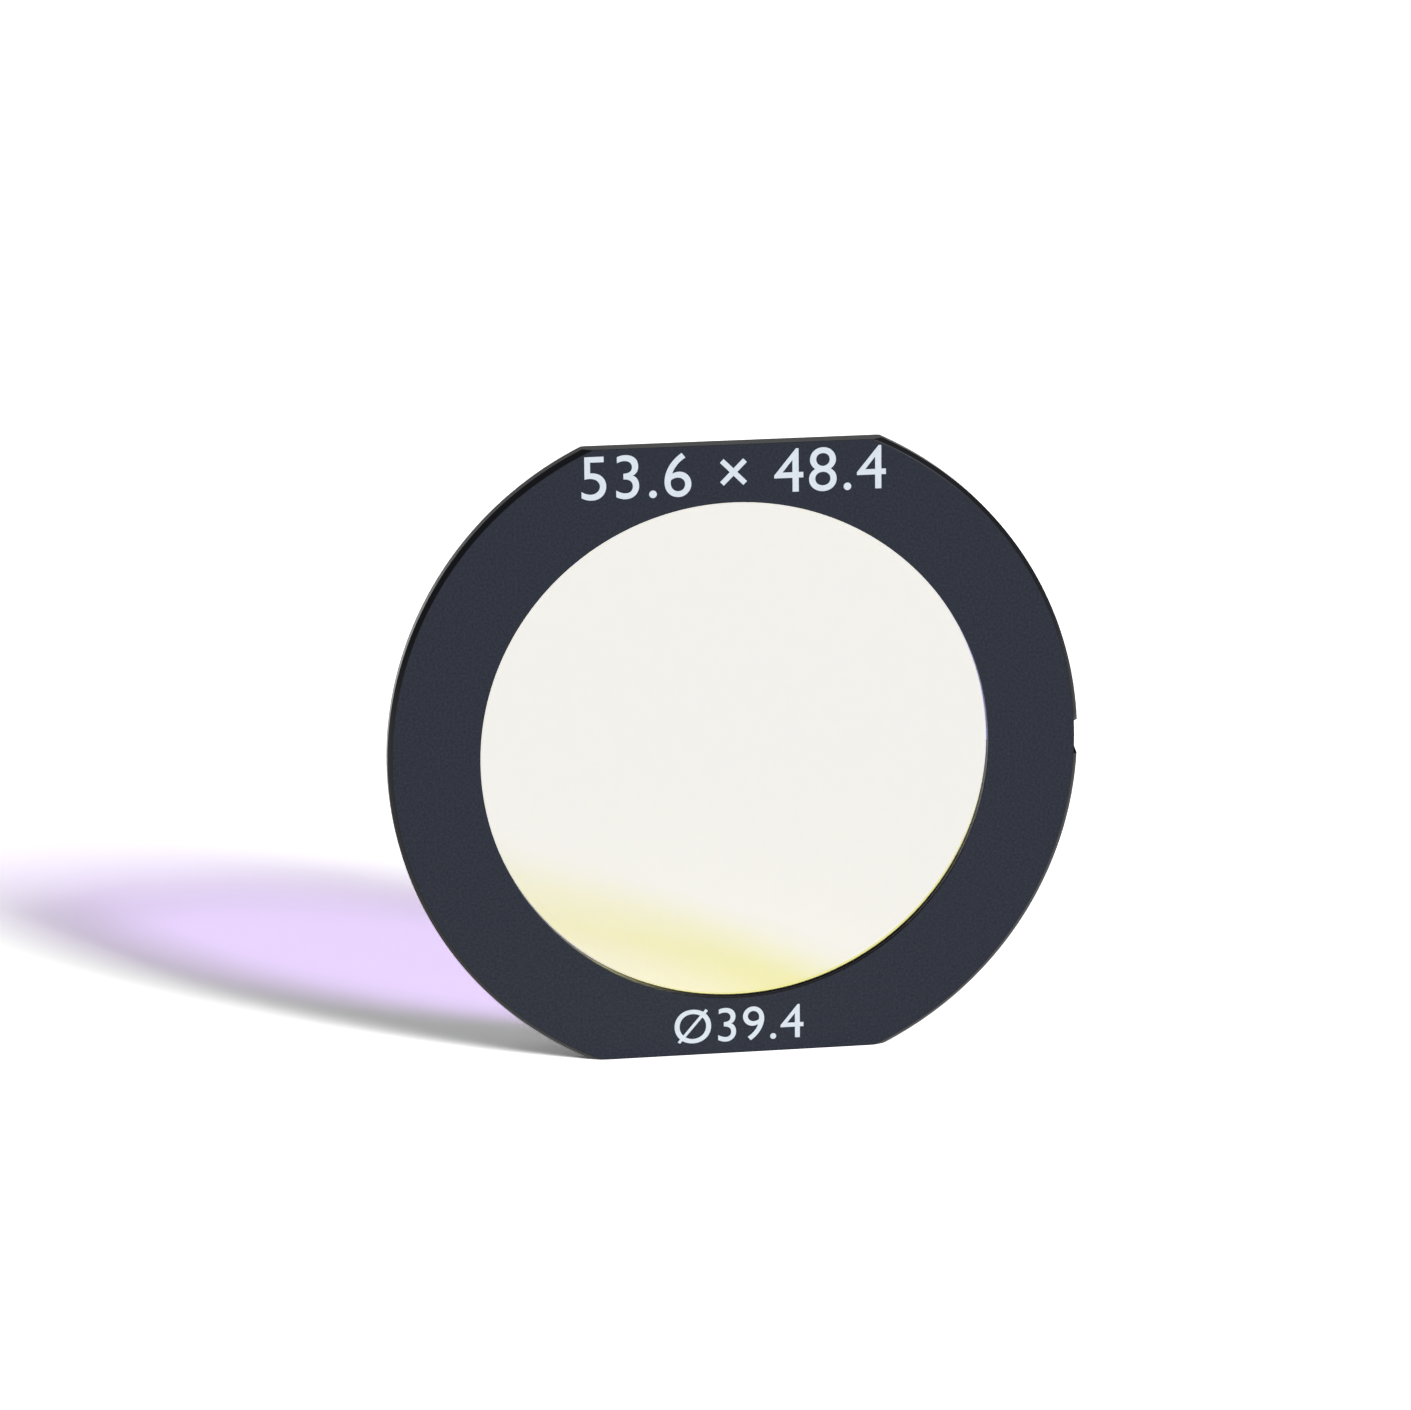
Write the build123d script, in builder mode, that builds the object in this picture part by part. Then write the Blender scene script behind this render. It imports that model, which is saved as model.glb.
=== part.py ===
from build123d import *
import os

# Clip-in light pollution filter: a thin black disc that drops into the throat of a camera's lens mount.
# The origin is on the optical axis, in the seat plane where the flange bears on the camera.
# +Y follows the light into the camera and +Z is up, so the front face looks along -Y.
# All sizes are in millimetres.

# Outline of the flange
throat_diameter = 54.0      # inside of the lens mount that the rim drops into
rim_clearance = 0.2         # all round, between rim and throat
flat_depth = 2.6            # milled off the rim at the top and at the bottom
flange_thickness = 1.6
rim_chamfer = 0.35          # turned on the front edge before the flats are milled
notch_height = 2.7          # finger notch in the rim at 3 o'clock
notch_depth = 0.3
edge_break = 0.15           # deburred edges on the camera side

# Opening and glass
border_width = 7.1          # radial, from the rim in to the opening
lip_thickness = 0.5
seat_width = 1.3            # how far the glass reaches behind the lip
glass_thickness = 1.0
glass_clearance = 0.1       # radial, in its seat
glass_chamfer = 0.1         # ground on both edges of the glass

# Retaining ring and the collar that it screws into
thread_step = 0.5           # radial, from the glass seat out to the thread
thread_lead = 0.15          # how far the thread starts ahead of the back of the glass
thread_chamfer = 0.2        # lead-in at the mouth of the thread
ring_clearance = 0.05       # radial, in the thread
ring_width = 1.55           # radial
ring_thickness = 1.1
ring_chamfer = 0.3          # on the inner edge that faces the camera
ring_setback = 0.5          # how far the ring sits inside the mouth, which leaves a turn of thread in view
slot_width = 1.0            # spanner slots
slot_depth = 0.6
slot_count = 2
collar_wall = 1.3

# Radii, from the optical axis outwards
rim_radius = throat_diameter / 2 - rim_clearance
flat_distance = rim_radius - flat_depth
opening_radius = rim_radius - border_width
glass_radius = opening_radius + seat_width
seat_radius = glass_radius + glass_clearance
thread_radius = seat_radius + thread_step
ring_outer_radius = thread_radius - ring_clearance
ring_inner_radius = ring_outer_radius - ring_width
collar_radius = thread_radius + collar_wall

# Stations along the optical axis, from the front face to the camera side
front_y = -flange_thickness
glass_front_y = front_y + lip_thickness
glass_back_y = glass_front_y + glass_thickness
thread_front_y = glass_back_y - thread_lead
ring_back_y = glass_back_y + ring_thickness
collar_back_y = ring_back_y + ring_setback

os.makedirs("parts", exist_ok=True)

# Frame, turned from one aluminium disc and then milled
with BuildPart() as frame:
    # Half section: x is the radius and y runs along the optical axis
    with BuildSketch(Plane.XY):
        with BuildLine():
            Polyline(
                (opening_radius, front_y),
                (rim_radius, front_y),
                (rim_radius, 0),
                (collar_radius, 0),
                (collar_radius, collar_back_y),
                (thread_radius, collar_back_y),
                (thread_radius, thread_front_y),
                (seat_radius, thread_front_y),
                (seat_radius, glass_front_y),
                (opening_radius, glass_front_y),
                close=True,
            )
        make_face()
    revolve(axis=Axis.Y)

    # Turned edges of the rim, both before the flats are milled
    rim_edges = frame.edges().filter_by(GeomType.CIRCLE).group_by(SortBy.RADIUS)[-1].sort_by(Axis.Y)
    chamfer(rim_edges[0], length=rim_chamfer)
    rim_edges = frame.edges().filter_by(GeomType.CIRCLE).group_by(SortBy.RADIUS)[-1].sort_by(Axis.Y)
    chamfer(rim_edges[-1], length=edge_break)

    # Mouth of the collar: the outer edge is deburred and the inner one leads the ring into the thread
    mouth_edges = frame.edges().filter_by(GeomType.CIRCLE).group_by(Axis.Y)[-1].sort_by(SortBy.RADIUS)
    chamfer(mouth_edges[-1], length=edge_break)
    mouth_edges = frame.edges().filter_by(GeomType.CIRCLE).group_by(Axis.Y)[-1].sort_by(SortBy.RADIUS)
    chamfer(mouth_edges[0], length=thread_chamfer)

    # Top and bottom flats, which keep the filter upright in the throat and leave sharp edges
    split(bisect_by=Plane.XY.offset(flat_distance), keep=Keep.BOTTOM)
    split(bisect_by=Plane.XY.offset(-flat_distance), keep=Keep.TOP)

    # Finger notch at 3 o'clock, its floor concentric with the rim
    with BuildSketch(Plane.XZ.offset(flange_thickness)):
        with Locations((rim_radius, 0)):
            Rectangle(rim_radius, notch_height)
        Circle(rim_radius - notch_depth, mode=Mode.SUBTRACT)
    extrude(amount=-flange_thickness, mode=Mode.SUBTRACT)

frame.part.label = "frame"
export_step(frame.part, "parts/frame.step")

# Filter glass, a round plate with both edges ground
with BuildPart() as filter_glass:
    with BuildSketch(Plane.XZ.offset(-glass_back_y)):
        Circle(glass_radius)
    extrude(amount=glass_thickness)
    chamfer(filter_glass.edges().filter_by(GeomType.CIRCLE), length=glass_chamfer)

filter_glass.part.label = "filter_glass"
export_step(filter_glass.part, "parts/filter_glass.step")

# Retaining ring, screwed in from the camera side against the back of the glass
with BuildPart() as retaining_ring:
    with BuildSketch(Plane.XZ.offset(-ring_back_y)):
        Circle(ring_outer_radius)
        Circle(ring_inner_radius, mode=Mode.SUBTRACT)
    extrude(amount=ring_thickness)

    # Bevel on the inner edge that faces the camera
    back_edges = retaining_ring.edges().filter_by(GeomType.CIRCLE).group_by(Axis.Y)[-1]
    chamfer(back_edges.sort_by(SortBy.RADIUS)[0], length=ring_chamfer)

    # Spanner slots across the face, level with the notch
    with BuildSketch(Plane.XZ.offset(-ring_back_y)):
        with PolarLocations((ring_inner_radius + ring_outer_radius) / 2, slot_count):
            Rectangle(2 * ring_width, slot_width)
    extrude(amount=slot_depth, mode=Mode.SUBTRACT)

retaining_ring.part.label = "retaining_ring"
export_step(retaining_ring.part, "parts/retaining_ring.step")
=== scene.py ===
"""Dresses the clip-in light pollution filter and lights it in a white studio.

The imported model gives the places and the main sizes. The frame, the glass and the retaining ring are
modelled again here in the form of their nodes, with finer facets and softly broken edges. The start of
the thread and the print on the front face are new pieces.
"""

import logging
import math
from collections.abc import Callable
from dataclasses import dataclass, field
from enum import Enum
from itertools import pairwise

import bpy
from mathutils import Matrix, Vector


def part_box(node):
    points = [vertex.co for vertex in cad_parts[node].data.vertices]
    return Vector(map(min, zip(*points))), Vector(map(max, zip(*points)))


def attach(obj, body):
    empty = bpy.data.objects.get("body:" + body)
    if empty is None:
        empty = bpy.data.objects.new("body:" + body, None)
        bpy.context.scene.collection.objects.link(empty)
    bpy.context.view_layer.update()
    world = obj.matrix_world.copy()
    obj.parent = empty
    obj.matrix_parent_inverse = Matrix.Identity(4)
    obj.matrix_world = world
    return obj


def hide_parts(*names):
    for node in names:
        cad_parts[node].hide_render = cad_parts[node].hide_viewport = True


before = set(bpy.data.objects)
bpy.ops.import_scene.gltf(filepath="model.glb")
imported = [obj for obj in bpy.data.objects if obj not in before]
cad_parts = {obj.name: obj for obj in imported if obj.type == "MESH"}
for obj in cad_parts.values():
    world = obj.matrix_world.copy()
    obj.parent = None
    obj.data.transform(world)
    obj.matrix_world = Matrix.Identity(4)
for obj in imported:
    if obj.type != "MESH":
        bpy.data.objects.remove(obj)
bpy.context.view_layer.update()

log = logging.getLogger("light_pollution_filter")

MM = 0.001               # one millimetre in scene units
FACETS = 256             # round a turned piece
WELD = 0.002 * MM        # points nearer than this are one point
SHARP = math.radians(30) # faces that meet at more than this have an edge between them
SQUARE_ON = 0.99         # a face whose normal has this much along the axis is a flat front or back
BODY = "root"            # the one body that every piece rides on

AXIS = Vector((0, 1, 0))
Corner = tuple[float, float]
Chooser = Callable[[bpy.types.MeshPolygon], bool]


# Helpers for modelling

def deselect_all() -> None:
    """Leave object mode with nothing selected."""
    bpy.ops.object.select_all(action="DESELECT")


def edit_all(piece: bpy.types.Object) -> None:
    """Open a piece in edit mode with all of its mesh selected.

    Args:
        piece: the piece to open.
    """
    deselect_all()
    bpy.context.view_layer.objects.active = piece
    piece.select_set(True)
    bpy.ops.object.mode_set(mode="EDIT")
    bpy.ops.mesh.select_all(action="SELECT")


def weld(piece: bpy.types.Object) -> None:
    """Merge points that coincide and turn every face outwards.

    Args:
        piece: the closed piece to mend.
    """
    edit_all(piece)
    bpy.ops.mesh.remove_doubles(threshold=WELD)
    bpy.ops.mesh.normals_make_consistent(inside=False)
    bpy.ops.object.mode_set(mode="OBJECT")


def place_in_mesh(piece: bpy.types.Object) -> None:
    """Bring a piece's object to the origin, unturned and unscaled, with its place in its mesh.

    Args:
        piece: the piece to settle.
    """
    deselect_all()
    bpy.context.view_layer.objects.active = piece
    piece.select_set(True)
    bpy.ops.object.transform_apply(location=True, rotation=True, scale=True)


def draw_section(name: str, section: list[Corner]) -> bpy.types.Object:
    """Draw a closed half section as a loop of edges beside the optical axis.

    Args:
        name: name of the new piece.
        section: its corners as (radius, station), in order round the outline.

    Returns:
        The loop.
    """
    radius, station = section[0]
    deselect_all()
    bpy.ops.mesh.primitive_plane_add(size=MM, location=(radius, station, 0))
    piece = bpy.context.object
    piece.name = name
    piece.data.name = name
    bpy.ops.object.mode_set(mode="EDIT")
    bpy.ops.mesh.select_all(action="SELECT")
    bpy.ops.mesh.merge(type="CENTER")
    for here, there in pairwise([*section, section[0]]):
        step = (there[0] - here[0], there[1] - here[1], 0)
        bpy.ops.mesh.extrude_vertices_move(TRANSFORM_OT_translate={"value": step})
    bpy.ops.mesh.select_all(action="SELECT")
    bpy.ops.mesh.remove_doubles(threshold=WELD)
    bpy.ops.object.mode_set(mode="OBJECT")
    place_in_mesh(piece)
    return piece


def turn(name: str, section: list[Corner]) -> bpy.types.Object:
    """Turn a closed half section about the optical axis, as on a lathe.

    Args:
        name: name of the new piece.
        section: its corners as (radius, station), in order round the outline.

    Returns:
        The turned piece.
    """
    piece = draw_section(name, section)
    edit_all(piece)
    bpy.ops.mesh.spin(steps=FACETS, angle=math.tau, center=(0, 0, 0), axis=AXIS, use_auto_merge=True)
    bpy.ops.object.mode_set(mode="OBJECT")
    weld(piece)
    return piece


def mill_off(piece: bpy.types.Object, place: Vector, towards: Vector) -> None:
    """Take away all of a piece beyond a plane and close the cut.

    Args:
        piece: the piece to mill.
        place: a point of the plane.
        towards: the plane's normal, which points at what goes.
    """
    edit_all(piece)
    bpy.ops.mesh.bisect(plane_co=place, plane_no=towards, use_fill=True, clear_outer=True)
    bpy.ops.object.mode_set(mode="OBJECT")


def apply_modifier(piece: bpy.types.Object, kind: str, **settings: object) -> None:
    """Add a modifier to a piece, set it and apply it.

    Args:
        piece: the piece to change.
        kind: Blender's name for the modifier.
        settings: values of the modifier's own properties.
    """
    deselect_all()
    bpy.context.view_layer.objects.active = piece
    piece.select_set(True)
    bpy.ops.object.modifier_add(type=kind)
    modifier = piece.modifiers[-1]
    for name, value in settings.items():
        setattr(modifier, name, value)
    bpy.ops.object.modifier_apply(modifier=modifier.name)


def cut_away(piece: bpy.types.Object, cutter: bpy.types.Object) -> None:
    """Take the form of a cutter out of a piece, and throw the cutter away.

    Args:
        piece: the piece to cut.
        cutter: a closed mesh.
    """
    apply_modifier(piece, "BOOLEAN", object=cutter, operation="DIFFERENCE", solver="EXACT")
    bpy.data.objects.remove(cutter, do_unlink=True)
    weld(piece)


def break_edges(piece: bpy.types.Object, width: float) -> None:
    """Round every edge slightly and shade the piece smooth, with its flat faces kept flat.

    Args:
        piece: the piece to finish.
        width: how much each edge loses.
    """
    apply_modifier(
        piece, "BEVEL", width=width, segments=2, limit_method="ANGLE", angle_limit=SHARP,
        use_clamp_overlap=False,
    )
    bpy.ops.object.shade_smooth_by_angle(angle=SHARP)
    apply_modifier(piece, "WEIGHTED_NORMAL", keep_sharp=True)


def dress(piece: bpy.types.Object, materials: list[bpy.types.Material]) -> None:
    """Give a piece its materials and its body.

    Args:
        piece: the finished piece.
        materials: one for each of its own slots, in their order.
    """
    piece.data.materials.clear()
    for material in materials:
        piece.data.materials.append(material)
    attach(piece, BODY)


def sort_faces(piece: bpy.types.Object, slot: int, choose: Chooser) -> None:
    """Put some of a piece's faces in one of its material slots.

    Args:
        piece: the piece, which already has its materials.
        slot: index of the material slot.
        choose: tells whether a face belongs to the slot.
    """
    for face in piece.data.polygons:
        if choose(face):
            face.material_index = slot


# Helpers for materials

def linear(code: str) -> tuple[float, float, float, float]:
    """Turn an sRGB hex colour to the linear one that Blender takes.

    Args:
        code: the colour, such as "#1a1c20".

    Returns:
        Red, green, blue and an alpha of 1.
    """
    channels = (int(code[i:i + 2], 16) / 255 for i in (1, 3, 5))
    red, green, blue = (c / 12.92 if c <= 0.04045 else ((c + 0.055) / 1.055) ** 2.4 for c in channels)
    return red, green, blue, 1.0


def in_use(sockets: bpy.types.bpy_prop_collection, key: int | str) -> bpy.types.NodeSocket:
    """Find a socket by its number, or by its name among those that the node's settings leave in use.

    Args:
        sockets: a node's inputs or outputs.
        key: the number or the name.

    Returns:
        The socket.
    """
    if isinstance(key, int):
        return sockets[key]
    return next(socket for socket in sockets if socket.name == key and socket.enabled)


def add_node(
    tree: bpy.types.NodeTree, kind: str, inputs: dict | None = None, **settings: object
) -> bpy.types.Node:
    """Add a node with its settings and links.

    Args:
        tree: the node tree that takes it.
        kind: its type, without the leading "ShaderNode".
        inputs: for an input's name or number, a value, or the output that feeds it.
        settings: values of the node's own properties.

    Returns:
        The new node.
    """
    node = tree.nodes.new("ShaderNode" + kind)
    for name, value in settings.items():
        setattr(node, name, value)
    for name, value in (inputs or {}).items():
        if isinstance(value, bpy.types.NodeSocket):
            tree.links.new(value, in_use(node.inputs, name))
        else:
            in_use(node.inputs, name).default_value = value
    return node


def empty_material(name: str) -> bpy.types.Material:
    """Make a material with no nodes.

    Args:
        name: its name.

    Returns:
        The material.
    """
    material = bpy.data.materials.new(name)
    material.use_nodes = True
    material.node_tree.nodes.clear()
    return material


def set_surface(tree: bpy.types.NodeTree, shader: bpy.types.Node) -> None:
    """Link a shader to a new output."""
    add_node(tree, "OutputMaterial", {"Surface": shader.outputs[0]})


# Finishes

@dataclass(frozen=True)
class BlastedAnodise:
    """Aluminium, glass-bead blasted and then anodised and dyed black.

    The beads leave shallow dimples that break the shine up into a soft grey sheen with a fine grain,
    and the dyed oxide has a cold, slightly blue black. The paler colour in the grain is a painted highlight
    for dimple walls turned to the light.
    """

    name: str = "black_anodised_aluminium"
    colour: str = "#151924"
    pale: str = "#242a38"            # painted highlight: where a dimple's wall turns to the light
    roughness: float = 0.46
    shine: float = 0.21              # the dyed oxide mirrors less than a clear one
    dimple: float = 0.2 * MM         # real dimples are about 0.05 mm, too fine to show
    dimple_depth: float = 0.012 * MM
    darkest: float = 0.3             # grain at and below this keeps the plain black
    palest: float = 0.75             # and at and above this the painted highlight

    def material(self) -> bpy.types.Material:
        """Build the material.

        Returns:
            A Principled material with grain in its bump, and in its colour as a painted highlight.
        """
        material = empty_material(self.name)
        tree = material.node_tree
        place = add_node(tree, "TexCoord").outputs["Object"]
        grain = add_node(
            tree, "TexNoise", {"Vector": place, "Scale": 1 / self.dimple, "Detail": 2.0, "Roughness": 0.6}
        )
        shade = add_node(
            tree, "MapRange",
            {"Value": grain.outputs["Fac"], "From Min": self.darkest, "From Max": self.palest},
        )
        # painted highlight: the grain lifts the black dye towards the pale colour of a lit dimple wall
        dyed_black_and_painted_highlight = add_node(
            tree, "Mix",
            {"Factor": shade.outputs["Result"], "A": linear(self.colour), "B": linear(self.pale)},
            data_type="RGBA",
        )
        dimples = add_node(
            tree, "Bump", {"Height": grain.outputs["Fac"], "Distance": self.dimple_depth, "Strength": 1.0}
        )
        surface = add_node(tree, "BsdfPrincipled", {
            "Base Color": in_use(dyed_black_and_painted_highlight.outputs, "Result"),
            "Roughness": self.roughness,
            "Specular IOR Level": self.shine,
            "Normal": dimples.outputs["Normal"],
        })
        set_surface(tree, surface)
        return material


@dataclass(frozen=True)
class TurnedAnodise:
    """Aluminium, turned on a lathe and then anodised and dyed black.

    The tool leaves rings round the axis that are smoother than the blasted faces, so the edges look
    blacker head on and mirror the white room at a low angle.
    """

    name: str = "black_anodised_turned"
    colour: str = "#121318"
    smoothest: float = 0.25          # roughness at the bottom of a ring
    roughest: float = 0.38           # and at its crest
    shine: float = 0.19              # the dyed oxide mirrors less than a clear one
    feed: float = 0.12 * MM          # real rings are about 0.05 mm apart, too fine to show
    ring_depth: float = 0.0015 * MM
    wall_feed: float = 1.7           # how much closer the rings lie along a wall than across a face

    def material(self) -> bpy.types.Material:
        """Build the material.

        Returns:
            A Principled material with tool rings in its bump and roughness.
        """
        material = empty_material(self.name)
        tree = material.node_tree
        place = add_node(tree, "TexCoord").outputs["Object"]
        outward = add_node(tree, "VectorMath", {0: place, 1: (1, 0, 1)}, operation="MULTIPLY")
        radius = add_node(tree, "VectorMath", {0: outward.outputs["Vector"]}, operation="LENGTH")
        along = add_node(tree, "SeparateXYZ", {"Vector": place})
        travel = add_node(
            tree, "Math", {0: along.outputs["Y"], 1: self.wall_feed, 2: radius.outputs["Value"]},
            operation="MULTIPLY_ADD",
        )
        rings = add_node(
            tree, "TexNoise",
            {"W": travel.outputs["Value"], "Scale": 1 / self.feed, "Detail": 1.0},
            noise_dimensions="1D",
        )
        satin = add_node(tree, "MapRange", {
            "Value": rings.outputs["Fac"], "To Min": self.smoothest, "To Max": self.roughest,
        })
        grooves = add_node(
            tree, "Bump", {"Height": rings.outputs["Fac"], "Distance": self.ring_depth, "Strength": 1.0}
        )
        surface = add_node(tree, "BsdfPrincipled", {
            "Base Color": linear(self.colour),
            "Roughness": satin.outputs["Result"],
            "Specular IOR Level": self.shine,
            "Normal": grooves.outputs["Normal"],
        })
        set_surface(tree, surface)
        return material


@dataclass(frozen=True)
class DichroicCoating:
    """Polished optical glass with a vacuum-deposited interference coating.

    The coating throws yellow-green back and lets blue through. Before a white table the two add up to a
    warm white, and over a shadow the yellow is left alone. Both are dim, since the table is overexposed.
    """

    name: str = "coated_glass"
    thrown_back: tuple[float, float, float, float] = (0.530, 0.505, 0.188, 1.0)
    let_through: tuple[float, float, float, float] = (0.055, 0.070, 0.372, 1.0)
    cast: tuple[float, float, float, float] = (0.40, 0.255, 0.57, 1.0)   # what a lamp throws on the table
    glance: float = 1.2              # index that turns the glass white at a low angle

    def material(self) -> bpy.types.Material:
        """Build the material.

        Returns:
            A see-through mirror whose two colours add up, white at a glancing angle.
        """
        material = empty_material(self.name)
        tree = material.node_tree
        passing = add_node(tree, "BsdfTransparent", {"Color": self.let_through})
        mirrored = add_node(tree, "BsdfGlossy", {"Color": self.thrown_back, "Roughness": 0.0})
        coating = add_node(tree, "AddShader", {0: passing.outputs[0], 1: mirrored.outputs[0]})
        sheen = add_node(tree, "BsdfGlossy", {"Color": (1, 1, 1, 1), "Roughness": 0.0})
        fresnel = add_node(tree, "Fresnel", {"IOR": self.glance})
        seen = add_node(
            tree, "MixShader", {0: fresnel.outputs[0], 1: coating.outputs[0], 2: sheen.outputs[0]}
        )
        lamp = add_node(tree, "LightPath")
        thrown = add_node(tree, "BsdfTransparent", {"Color": self.cast})
        surface = add_node(
            tree, "MixShader", {0: lamp.outputs["Is Shadow Ray"], 1: seen.outputs[0], 2: thrown.outputs[0]}
        )
        set_surface(tree, surface)
        return material


@dataclass(frozen=True)
class ClearCoating:
    """Polished optical glass with a multilayer anti-reflection coating.

    It is all but invisible: one part in a hundred comes back, slightly green.
    """

    name: str = "clear_coated_glass"
    let_through: tuple[float, float, float, float] = (0.985, 0.99, 0.985, 1.0)
    thrown_back: tuple[float, float, float, float] = (0.55, 1.0, 0.75, 1.0)
    share: float = 0.012

    def material(self) -> bpy.types.Material:
        """Build the material.

        Returns:
            A see-through surface with a faint mirror on it.
        """
        material = empty_material(self.name)
        tree = material.node_tree
        passing = add_node(tree, "BsdfTransparent", {"Color": self.let_through})
        mirrored = add_node(tree, "BsdfGlossy", {"Color": self.thrown_back, "Roughness": 0.0})
        surface = add_node(tree, "MixShader", {0: self.share, 1: passing.outputs[0], 2: mirrored.outputs[0]})
        set_surface(tree, surface)
        return material


@dataclass(frozen=True)
class GroundGlass:
    """Optical glass, ground on its edge.

    The ground edge is matt and pale green-grey.
    """

    name: str = "ground_glass_edge"
    colour: str = "#aeb9b2"
    roughness: float = 0.6

    def material(self) -> bpy.types.Material:
        """Build the material.

        Returns:
            A Principled material, frosted.
        """
        material = empty_material(self.name)
        tree = material.node_tree
        surface = add_node(
            tree, "BsdfPrincipled", {"Base Color": linear(self.colour), "Roughness": self.roughness}
        )
        set_surface(tree, surface)
        return material


@dataclass(frozen=True)
class PadPrintInk:
    """White two-part ink, pad printed and baked.

    A cold white, matt, slightly mottled where the pad laid it thinner.
    """

    name: str = "white_print"
    colour: str = "#dfe7f0"
    thin: str = "#cfd9e4"
    roughness: float = 0.62
    mottle: float = 0.3 * MM

    def material(self) -> bpy.types.Material:
        """Build the material.

        Returns:
            A Principled material with a slight mottle.
        """
        material = empty_material(self.name)
        tree = material.node_tree
        place = add_node(tree, "TexCoord").outputs["Object"]
        mottle = add_node(tree, "TexNoise", {"Vector": place, "Scale": 1 / self.mottle, "Detail": 3.0})
        ink = add_node(
            tree, "Mix", {"Factor": mottle.outputs["Fac"], "A": linear(self.thin), "B": linear(self.colour)},
            data_type="RGBA",
        )
        surface = add_node(
            tree, "BsdfPrincipled", {"Base Color": in_use(ink.outputs, "Result"), "Roughness": self.roughness}
        )
        set_surface(tree, surface)
        return material


@dataclass(frozen=True)
class PaperTable:
    """Matt white paper, overexposed.

    It shows as clean white behind the filter and in what the filter mirrors, and still takes its shadow.
    What it lights gets no more than plain white paper would give.
    """

    name: str = "white_paper"
    colour: str = "#f0f0f0"
    lift: float = 2.5                # how white it is to the eye: overexposed, as in the photograph

    def material(self) -> bpy.types.Material:
        """Build the material.

        Returns:
            A matt material, whiter to camera, mirror and glass rays.
        """
        material = empty_material(self.name)
        tree = material.node_tree
        paper = add_node(tree, "BsdfDiffuse", {"Color": linear(self.colour)})
        lifted = add_node(tree, "BsdfDiffuse", {"Color": (self.lift, self.lift, self.lift, 1.0)})
        seen = rays_that_see(tree)
        surface = add_node(tree, "MixShader", {0: seen, 1: paper.outputs[0], 2: lifted.outputs[0]})
        set_surface(tree, surface)
        return material


def rays_that_see(tree: bpy.types.NodeTree) -> bpy.types.NodeSocket:
    """Tell rays from the camera, a mirror or glass from those that only gather light.

    Args:
        tree: the node tree that takes the nodes.

    Returns:
        An output that is 1 for a ray that sees and 0 for one that gathers light.
    """
    ray = add_node(tree, "LightPath").outputs
    mirrored = add_node(tree, "Math", {0: ray["Is Camera Ray"], 1: ray["Is Glossy Ray"]}, operation="MAXIMUM")
    seen = add_node(
        tree, "Math", {0: mirrored.outputs[0], 1: ray["Is Transmission Ray"]}, operation="MAXIMUM"
    )
    return seen.outputs[0]


# The filter

@dataclass(frozen=True)
class Layout:
    """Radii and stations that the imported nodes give, shared by the pieces that fit together."""

    rim_radius: float
    flat_distance: float
    front: float
    collar_back: float
    glass_radius: float
    glass_front: float
    glass_back: float
    ring_radius: float
    ring_back: float

    @classmethod
    def read(cls) -> "Layout":
        """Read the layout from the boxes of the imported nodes.

        Returns:
            The layout, in scene units.
        """
        frame_low, frame_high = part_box("frame")
        glass_low, glass_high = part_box("filter_glass")
        _, ring_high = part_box("retaining_ring")
        return cls(
            rim_radius=-frame_low.x,
            flat_distance=frame_high.z,
            front=frame_low.y,
            collar_back=frame_high.y,
            glass_radius=glass_high.x,
            glass_front=glass_low.y,
            glass_back=glass_high.y,
            ring_radius=ring_high.x,
            ring_back=ring_high.y,
        )


class FrameSurface(Enum):
    """How a face of the frame was made last; the value is its material slot."""

    BLASTED = 0
    TURNED = 1


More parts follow.
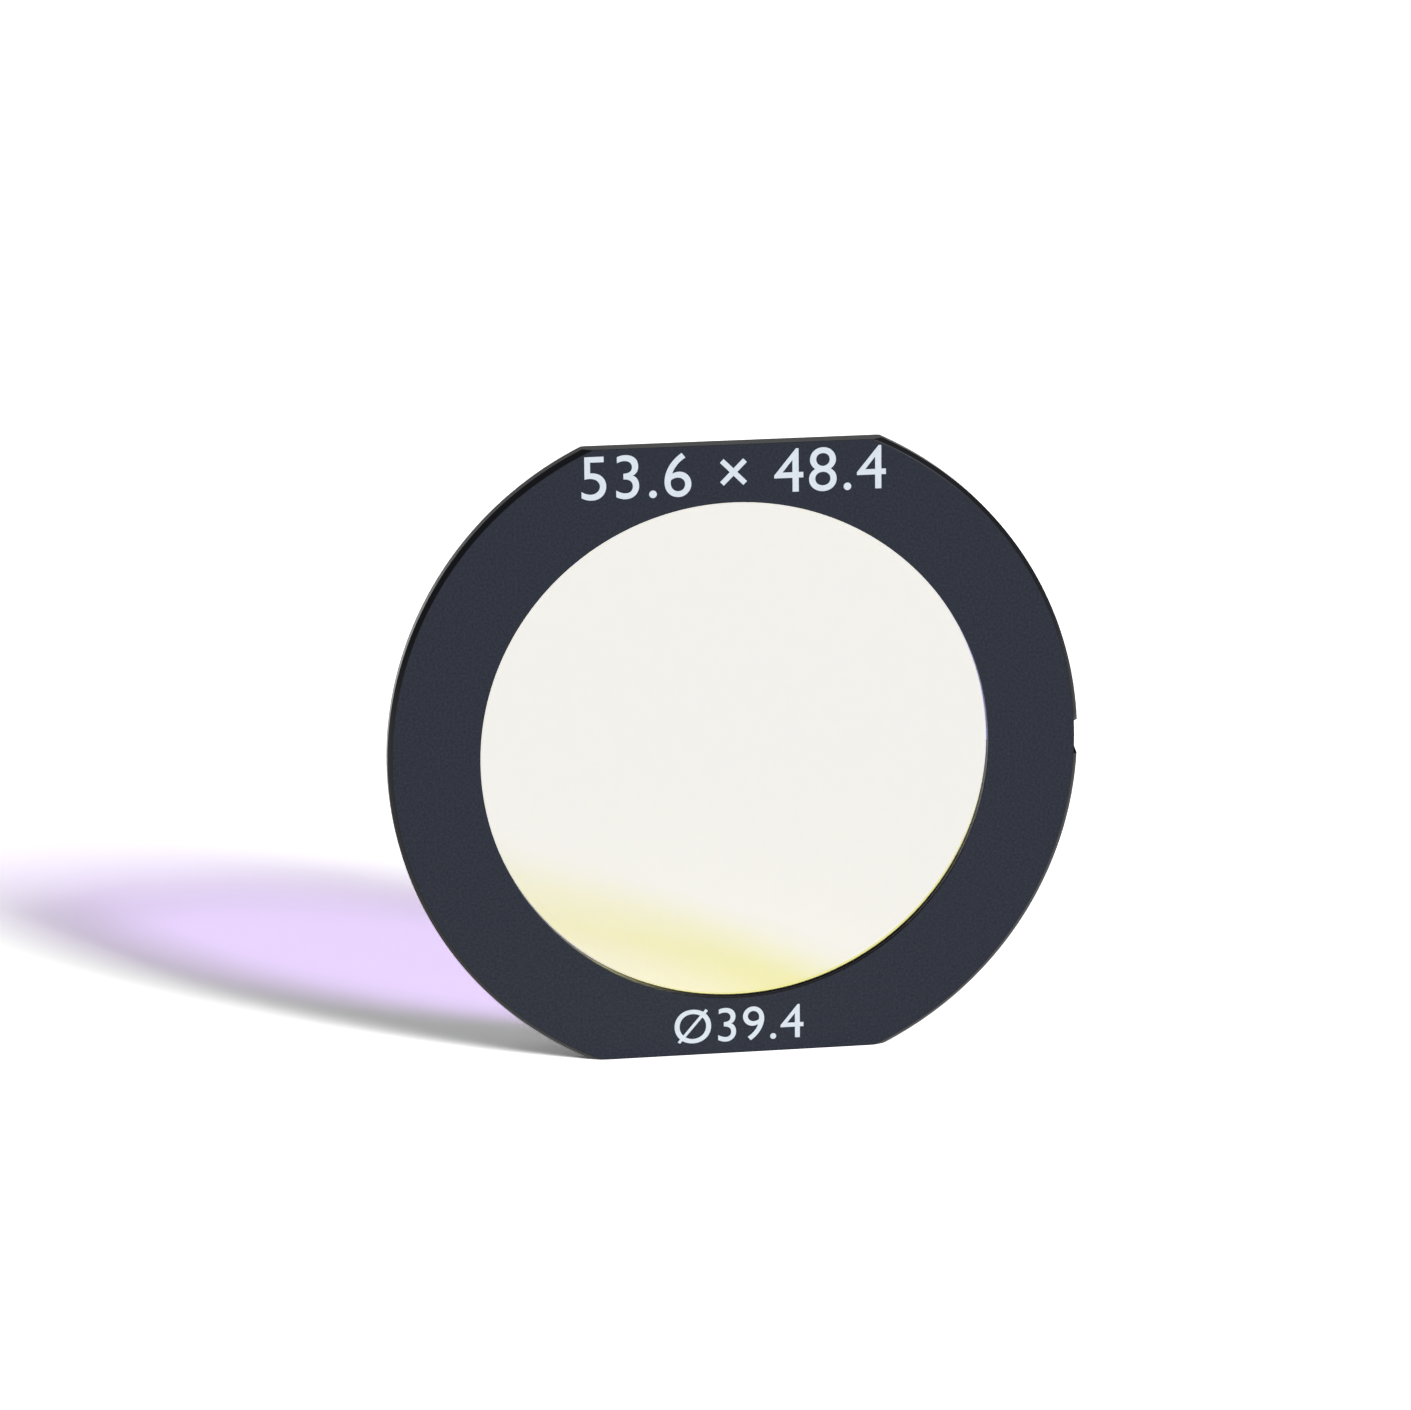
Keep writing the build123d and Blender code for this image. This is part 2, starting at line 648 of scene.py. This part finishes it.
@dataclass
class FilterFrame:
    """The frame: a flange with two flats and a notch, a front lip, and a threaded collar behind."""

    layout: Layout
    opening_radius: float = 19.7 * MM
    seat_clearance: float = 0.1 * MM
    thread_step: float = 0.5 * MM
    thread_lead: float = 0.15 * MM
    thread_chamfer: float = 0.2 * MM
    collar_radius: float = 22.9 * MM
    rim_chamfer: float = 0.35 * MM
    edge_break: float = 0.15 * MM
    notch_height: float = 2.7 * MM
    notch_depth: float = 0.3 * MM
    rounding: float = 0.03 * MM
    thread_pitch: float = 0.5 * MM
    thread_height: float = 0.12 * MM             # how far the ridge stands in from the bore
    thread_root: float = 0.3 * MM                # how far it reaches into the collar's wall
    blasted: BlastedAnodise = field(default_factory=BlastedAnodise)
    turned: TurnedAnodise = field(default_factory=TurnedAnodise)

    @property
    def seat_radius(self) -> float:
        """Radius of the bore that the glass sits in."""
        return self.layout.glass_radius + self.seat_clearance

    @property
    def thread_radius(self) -> float:
        """Radius of the collar's threaded bore."""
        return self.seat_radius + self.thread_step

    def section(self) -> list[Corner]:
        """Draw the half section.

        Returns:
            Corners as (radius, station), from the opening's front edge outwards and back inside.
        """
        at = self.layout
        return [
            (self.opening_radius, at.front),
            (at.rim_radius - self.rim_chamfer, at.front),
            (at.rim_radius, at.front + self.rim_chamfer),
            (at.rim_radius, -self.edge_break),
            (at.rim_radius - self.edge_break, 0),
            (self.collar_radius, 0),
            (self.collar_radius, at.collar_back - self.edge_break),
            (self.collar_radius - self.edge_break, at.collar_back),
            (self.thread_radius + self.thread_chamfer, at.collar_back),
            (self.thread_radius, at.collar_back - self.thread_chamfer),
            (self.thread_radius, at.glass_back - self.thread_lead),
            (self.seat_radius, at.glass_back - self.thread_lead),
            (self.seat_radius, at.glass_front),
            (self.opening_radius, at.glass_front),
        ]

    def notch_cutter(self) -> bpy.types.Object:
        """Make the form that the notch takes out of the rim, with its floor concentric with the rim.

        Returns:
            A closed block at 3 o'clock.
        """
        rim = self.layout.rim_radius
        beyond = self.notch_height
        inner, outer = rim - self.notch_depth, rim + beyond
        front, back = self.layout.front - beyond, beyond
        cutter = turn("notch_cutter", [(inner, front), (outer, front), (outer, back), (inner, back)])
        mill_off(cutter, Vector((0, 0, self.notch_height / 2)), Vector((0, 0, 1)))
        mill_off(cutter, Vector((0, 0, -self.notch_height / 2)), Vector((0, 0, -1)))
        mill_off(cutter, Vector((0, 0, 0)), Vector((-1, 0, 0)))
        weld(cutter)
        return cutter

    def build_thread(self) -> bpy.types.Object:
        """Cut the turn of thread that shows between the ring and the collar's mouth.

        Returns:
            The dressed ridge, which rises from behind the ring and runs out at the lead-in.
        """
        at = self.layout
        crest, root = self.thread_radius - self.thread_height, self.thread_radius + self.thread_root
        start, half = at.ring_back - self.thread_height, root - crest
        piece = draw_section("collar_thread", [(root, start - half), (crest, start), (root, start + half)])
        apply_modifier(
            piece, "SCREW", axis="Y", angle=math.tau, screw_offset=self.thread_pitch, steps=FACETS,
            render_steps=FACETS, use_smooth_shade=False,
        )
        edit_all(piece)
        bpy.ops.mesh.fill_holes(sides=3)
        bpy.ops.object.mode_set(mode="OBJECT")
        weld(piece)
        mouth, back = self.thread_radius + self.thread_chamfer, at.collar_back
        reach = self.thread_chamfer + 2 * self.thread_height
        cut_away(piece, turn("lead_in_cutter", [
            (mouth, back),
            (mouth - reach, back - reach),
            (mouth - reach, back + reach),
            (mouth + reach, back + reach),
            (mouth + reach, back),
        ]))
        dress(piece, [self.turned.material()])
        return piece

    def build(self) -> bpy.types.Object:
        """Turn the frame, mill its flats and its notch, and give it its finish.

        Returns:
            The dressed frame.
        """
        piece = turn("filter_frame", self.section())
        for side in (1, -1):
            mill_off(piece, Vector((0, 0, side * self.layout.flat_distance)), Vector((0, 0, side)))
        weld(piece)
        cut_away(piece, self.notch_cutter())
        break_edges(piece, self.rounding)
        dress(piece, [self.blasted.material(), self.turned.material()])
        sort_faces(piece, FrameSurface.TURNED.value, lambda face: abs(face.normal.y) < SQUARE_ON)
        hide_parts("frame")
        return piece


class GlassSurface(Enum):
    """What a face of the glass carries; the value is its material slot."""

    DICHROIC = 0
    CLEAR = 1
    GROUND = 2


@dataclass
class FilterGlass:
    """The filter glass: a round plate, coated on both faces and ground on its edge."""

    layout: Layout
    chamfer: float = 0.1 * MM
    dichroic: DichroicCoating = field(default_factory=DichroicCoating)
    clear: ClearCoating = field(default_factory=ClearCoating)
    ground: GroundGlass = field(default_factory=GroundGlass)

    def build(self) -> bpy.types.Object:
        """Cut the plate, bevel its two edges and coat its faces.

        Returns:
            The dressed glass.
        """
        at = self.layout
        deselect_all()
        bpy.ops.mesh.primitive_cylinder_add(
            vertices=FACETS,
            radius=at.glass_radius,
            depth=at.glass_back - at.glass_front,
            location=AXIS * (at.glass_front + at.glass_back) / 2,
            rotation=(math.pi / 2, 0, 0),
        )
        piece = bpy.context.object
        piece.name = piece.data.name = "coated_filter_glass"
        place_in_mesh(piece)
        apply_modifier(
            piece, "BEVEL", width=self.chamfer, segments=1, limit_method="ANGLE", angle_limit=SHARP
        )
        bpy.ops.object.shade_smooth_by_angle(angle=SHARP)
        finishes = [self.dichroic.material(), self.clear.material(), self.ground.material()]
        dress(piece, finishes)
        sort_faces(piece, GlassSurface.CLEAR.value, lambda face: face.normal.y > SQUARE_ON)
        sort_faces(piece, GlassSurface.GROUND.value, lambda face: abs(face.normal.y) < SQUARE_ON)
        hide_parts("filter_glass")
        return piece


@dataclass
class RetainingRing:
    """The retaining ring: threaded outside, with a bevel and two spanner slots on its back."""

    layout: Layout
    width: float = 1.55 * MM
    chamfer: float = 0.3 * MM
    slot_width: float = 1.0 * MM
    slot_depth: float = 0.6 * MM
    slot_count: int = 2
    rounding: float = 0.03 * MM
    turned: TurnedAnodise = field(default_factory=lambda: TurnedAnodise(name="black_anodised_ring"))

    def section(self) -> list[Corner]:
        """Draw the half section.

        Returns:
            Corners as (radius, station).
        """
        at = self.layout
        inner = at.ring_radius - self.width
        return [
            (inner, at.glass_back),
            (at.ring_radius, at.glass_back),
            (at.ring_radius, at.ring_back),
            (inner + self.chamfer, at.ring_back),
            (inner, at.ring_back - self.chamfer),
        ]

    def slot_cutter(self, angle: float) -> bpy.types.Object:
        """Make the form of one spanner slot.

        Args:
            angle: its place round the axis, from +X.

        Returns:
            A closed block across the ring.
        """
        middle = self.layout.ring_radius - self.width / 2
        spot = Vector((middle * math.cos(angle), self.layout.ring_back, middle * math.sin(angle)))
        deselect_all()
        bpy.ops.mesh.primitive_cube_add(
            size=1,
            location=spot,
            rotation=(0, -angle, 0),
            scale=(2 * self.width, 2 * self.slot_depth, self.slot_width),
        )
        cutter = bpy.context.object
        place_in_mesh(cutter)
        return cutter

    def build(self) -> bpy.types.Object:
        """Turn the ring, cut its slots and give it its finish.

        Returns:
            The dressed ring.
        """
        piece = turn("threaded_ring", self.section())
        for index in range(self.slot_count):
            cut_away(piece, self.slot_cutter(index * math.tau / self.slot_count))
        break_edges(piece, self.rounding)
        dress(piece, [self.turned.material()])
        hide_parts("retaining_ring")
        return piece


@dataclass
class FrontPrint:
    """Plain sizes in millimetres, printed in white above and below the opening."""

    layout: Layout
    ink_thickness: float = 0.012 * MM
    rim_text: str = "53.6 × 48.4"
    rim_text_height: float = 3.4 * MM
    rim_text_place: float = 20.35 * MM
    opening_text: str = "Ø39.4"
    opening_text_height: float = 2.75 * MM
    opening_text_place: float = -23.2 * MM
    spacing: float = 1.06            # between figures, to the typeface's own
    ink: PadPrintInk = field(default_factory=PadPrintInk)

    def line(self, name: str, words: str, height: float, foot: float) -> bpy.types.Object:
        """Print one line of figures, centred on the front face.

        Args:
            name: name of the new piece.
            words: the figures.
            height: how tall they are.
            foot: height of their foot above the optical axis.

        Returns:
            The dressed line.
        """
        deselect_all()
        bpy.ops.object.text_add(location=(0, self.layout.front, foot), rotation=(math.pi / 2, 0, 0))
        text = bpy.context.object
        text.name = name
        text.data.body = words
        text.data.align_x = "CENTER"
        text.data.space_character = self.spacing
        text.data.size = 1.0
        bpy.context.view_layer.update()
        text.data.size = height / text.dimensions.y
        text.data.extrude = self.ink_thickness
        bpy.ops.object.convert(target="MESH")
        piece = bpy.context.object
        piece.data.name = name
        place_in_mesh(piece)
        weld(piece)
        dress(piece, [self.ink.material()])
        return piece

    def build(self) -> list[bpy.types.Object]:
        """Print both lines.

        Returns:
            The two lines, the upper one first.
        """
        return [
            self.line("rim_size_print", self.rim_text, self.rim_text_height, self.rim_text_place),
            self.line(
                "opening_size_print", self.opening_text, self.opening_text_height, self.opening_text_place
            ),
        ]


# The studio

@dataclass
class Studio:
    """A white table in a pale room with one soft lamp at the upper right."""

    floor_height: float
    floor_width: float = 6.0
    ambient: float = 0.158
    room_front: float = 0.2          # what metal mirrors of the room behind the camera
    room_back: float = 0.4           # and of the wall beyond the table
    front_ends: float = -0.2         # how far along the axis a mirrored ray points where the front ends
    back_begins: float = 0.5         # and where the back begins
    lamp_azimuth: float = math.radians(38.3)     # to the right of the filter's axis
    lamp_elevation: float = math.radians(27.4)
    lamp_distance: float = 20.0      # far enough for the same light all over the table
    lamp_width: float = math.radians(13.8)       # as the filter sees it
    lamp_height: float = math.radians(20.5)
    lamp_light: float = 3.15         # watts per square metre that reach the filter, square to the beam
    paper: PaperTable = field(default_factory=PaperTable)

    def build_floor(self) -> None:
        """Lay the table under the lower flat."""
        deselect_all()
        bpy.ops.mesh.primitive_plane_add(size=self.floor_width, location=(0, 0, self.floor_height))
        floor = bpy.context.object
        floor.name = "white_table"
        floor.data.materials.append(self.paper.material())

    def build_lamp(self) -> None:
        """Hang the soft box that throws the shadow to the left and back."""
        turned = (
            Matrix.Rotation(self.lamp_azimuth, 3, "Z")
            @ Matrix.Rotation(math.pi / 2 - self.lamp_elevation, 3, "X")
        )
        deselect_all()
        bpy.ops.object.light_add(
            type="AREA", location=turned @ Vector((0, 0, self.lamp_distance)), rotation=turned.to_euler()
        )
        lamp = bpy.context.object
        lamp.name = "soft_box"
        lamp.data.shape = "RECTANGLE"
        lamp.data.size = 2 * self.lamp_distance * math.tan(self.lamp_width / 2)
        lamp.data.size_y = 2 * self.lamp_distance * math.tan(self.lamp_height / 2)
        lamp.data.energy = self.lamp_light * math.pi * self.lamp_distance ** 2

    def build_world(self) -> None:
        """Surround the table with a room that is white to the eye and soft as a light."""
        world = bpy.data.worlds.new("pale_room")
        bpy.context.scene.world = world
        world.use_nodes = True
        tree = world.node_tree
        tree.nodes.clear()
        ray = add_node(tree, "LightPath").outputs
        way = add_node(tree, "TexCoord").outputs["Generated"]
        along = add_node(tree, "SeparateXYZ", {"Vector": way})
        depth = add_node(tree, "MapRange", {
            "Value": along.outputs["Y"], "From Min": self.front_ends, "From Max": self.back_begins,
            "To Min": self.room_front, "To Max": self.room_back,
        })
        mirrored = add_node(
            tree, "Mix", {"Factor": ray["Is Glossy Ray"], "A": self.ambient, "B": depth.outputs["Result"]},
            data_type="FLOAT",
        )
        clear = add_node(
            tree, "Math", {0: ray["Is Camera Ray"], 1: ray["Is Transmission Ray"]}, operation="MAXIMUM"
        )
        level = add_node(
            tree, "Mix", {"Factor": clear.outputs[0], "A": mirrored.outputs[0], "B": 1.0}, data_type="FLOAT"
        )
        room = add_node(tree, "Background", {"Color": (1, 1, 1, 1), "Strength": level.outputs[0]})
        add_node(tree, "OutputWorld", {"Surface": room.outputs[0]})

    def build(self) -> None:
        """Set up the table, the lamp and the room, with plain colour management."""
        self.build_floor()
        self.build_lamp()
        self.build_world()
        bpy.context.scene.view_settings.view_transform = "Standard"


@dataclass
class PhotoCamera:
    """The photograph's view: from the left and above, through a long lens."""

    target: Vector
    azimuth: float = math.radians(-7.954)
    elevation: float = math.radians(14.836)
    roll: float = math.radians(-0.627)
    distance: float = 399.8 * MM
    aside: float = -2.352 * MM
    above: float = 3.697 * MM
    lens: float = 132.876            # on a sensor 36 mm wide
    nearest: float = 10 * MM

    def build(self) -> bpy.types.Object:
        """Stand the camera in its place.

        Returns:
            The camera, which is also the scene's.
        """
        turned = (
            Matrix.Rotation(self.azimuth, 3, "Z")
            @ Matrix.Rotation(math.pi / 2 - self.elevation, 3, "X")
            @ Matrix.Rotation(self.roll, 3, "Z")
        )
        place = self.target + turned @ Vector((self.aside, self.above, self.distance))
        deselect_all()
        bpy.ops.object.camera_add(location=place, rotation=turned.to_euler())
        camera = bpy.context.object
        camera.data.sensor_width = 36
        camera.data.lens = self.lens
        camera.data.clip_start = self.nearest
        bpy.context.scene.camera = camera
        return camera


def report(piece: bpy.types.Object) -> None:
    """Log a finished piece.

    Args:
        piece: the piece.
    """
    log.info("%s: %d faces, %d materials", piece.name, len(piece.data.polygons), len(piece.data.materials))


def main() -> None:
    """Build the filter piece by piece, then the studio round it."""
    logging.basicConfig(level=logging.INFO, format="%(name)s: %(message)s")
    layout = Layout.read()
    filter_frame = FilterFrame(layout)
    report(filter_frame.build())
    report(filter_frame.build_thread())
    report(FilterGlass(layout).build())
    report(RetainingRing(layout).build())
    for line in FrontPrint(layout).build():
        report(line)
    Studio(floor_height=-layout.flat_distance).build()
    PhotoCamera(target=AXIS * layout.front).build()


if __name__ == "__main__":
    main()
